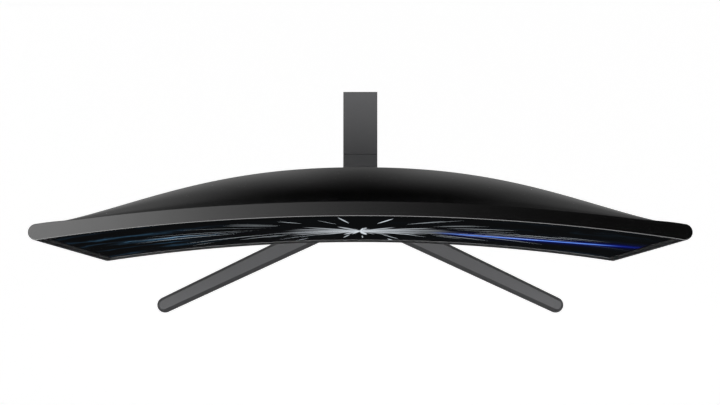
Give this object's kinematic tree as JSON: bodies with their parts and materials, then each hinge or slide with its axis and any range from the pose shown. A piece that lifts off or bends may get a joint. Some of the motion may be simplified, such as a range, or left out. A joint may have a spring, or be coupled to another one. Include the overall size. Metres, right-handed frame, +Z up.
{
  "type": "computer monitor",
  "caption": "Curved desktop monitor: slim gloss rim, domed rear cover, and a tilting stand with two splayed front legs and a flat rear leg.",
  "frame": {"origin": "centre of the stand's footprint on the desk plane, under the feet", "axes": "+Z up, the screen faces -Y, +X to the right of a person looking at the screen"},
  "size_m": [0.551, 0.2494, 0.42],
  "materials": {
    "rim_gloss": "semi-gloss black with a very fine grain",
    "bezel_dark": "satin dark grey",
    "screen_glass": "anti-glare coated, dark",
    "cover_black": "satin black with a fine moulded texture",
    "stand_paint": "matte dark grey powder coat",
    "stand_plastic": "matte dark grey moulded",
    "plated_steel": "zinc-plated sheet",
    "screw_black": "black oxide",
    "aluminium": "anodised",
    "sheet_white": "white diffusing film",
    "acrylic": "clear acrylic",
    "frame_nylon": "natural moulded",
    "board_green": "solder mask over glass laminate",
    "chip_black": "moulded resin",
    "film_amber": "polyimide film",
    "cable_grey": "ribbon insulation",
    "rubber_black": "matte"
  },
  "bodies": {
    "stand": {"neck_core": "plated_steel", "neck_front_cover": "stand_plastic", "neck_rear_cover": "stand_plastic", "hinge_pin": "plated_steel", "hinge_nut": "plated_steel", "friction_washer_left": "aluminium", "friction_washer_right": "aluminium", "base_hub": "stand_paint", "hub_cover": "stand_plastic", "left_leg": "stand_paint", "right_leg": "stand_paint", "rear_leg": "stand_paint", "base_screw": "screw_black", "leg_screw_left": "screw_black", "leg_screw_right": "screw_black", "foot_left": "rubber_black", "foot_right": "rubber_black", "foot_rear": "rubber_black", "foot_hub": "rubber_black", "cable_clip": "stand_plastic"},
    "head": {"middle_frame": "rim_gloss", "front_bezel": "bezel_dark", "lcd_cell": "screen_glass", "mold_frame": "frame_nylon", "optical_sheets": "sheet_white", "light_guide": "acrylic", "reflector_sheet": "sheet_white", "led_bar": "sheet_white", "panel_chassis": "plated_steel", "source_board": "board_green", "cof_film_left": "film_amber", "cof_film_right": "film_amber", "rear_cover": "cover_black", "inner_chassis": "plated_steel", "main_board": "board_green", "scaler_chip": "chip_black", "heat_sink": "aluminium", "capacitor": "chip_black", "hdmi_port": "plated_steel", "displayport": "plated_steel", "audio_jack": "chip_black", "dc_jack": "chip_black", "display_cable": "cable_grey", "key_cable": "cable_grey", "backlight_cable": "cable_grey", "mount_plate": "plated_steel", "plate_screw_1": "screw_black", "plate_screw_2": "screw_black", "plate_screw_3": "screw_black", "plate_screw_4": "screw_black", "cover_screw_1": "screw_black", "cover_screw_2": "screw_black", "cover_screw_3": "screw_black", "cover_screw_4": "screw_black", "jog_board": "board_green", "jog_switch": "chip_black", "power_led_lens": "acrylic"},
    "jog_press_body": {"jog_plunger": "chip_black"},
    "jog_rocker": {"jog_gimbal": "plated_steel"},
    "jog_top": {"jog_cap": "rim_gloss"}
  },
  "joints": [
    {"name": "head_tilt", "type": "hinge", "parent": "stand", "child": "head", "pos_m": [0, 0.00473, 0.2], "axis": [-1, 0, 0], "range_deg": [-2, 20]},
    {"name": "jog_press", "type": "slide", "parent": "head", "child": "jog_press_body", "axis": [-0.1129, -0.9936, 0], "range_m": [0, 0.0008], "stiffness_N_per_m": 900},
    {"name": "jog_up_down", "type": "hinge", "parent": "jog_press_body", "child": "jog_rocker", "pos_m": [0.20494, -0.04738, 0.125], "axis": [0.9936, -0.1129, 0], "range_deg": [-6, 6], "stiffness_Nm_per_rad": 0.05},
    {"name": "jog_left_right", "type": "hinge", "parent": "jog_rocker", "child": "jog_top", "pos_m": [0.20494, -0.04738, 0.125], "axis": [0, 0, 1], "range_deg": [-6, 6], "stiffness_Nm_per_rad": 0.05}
  ]
}
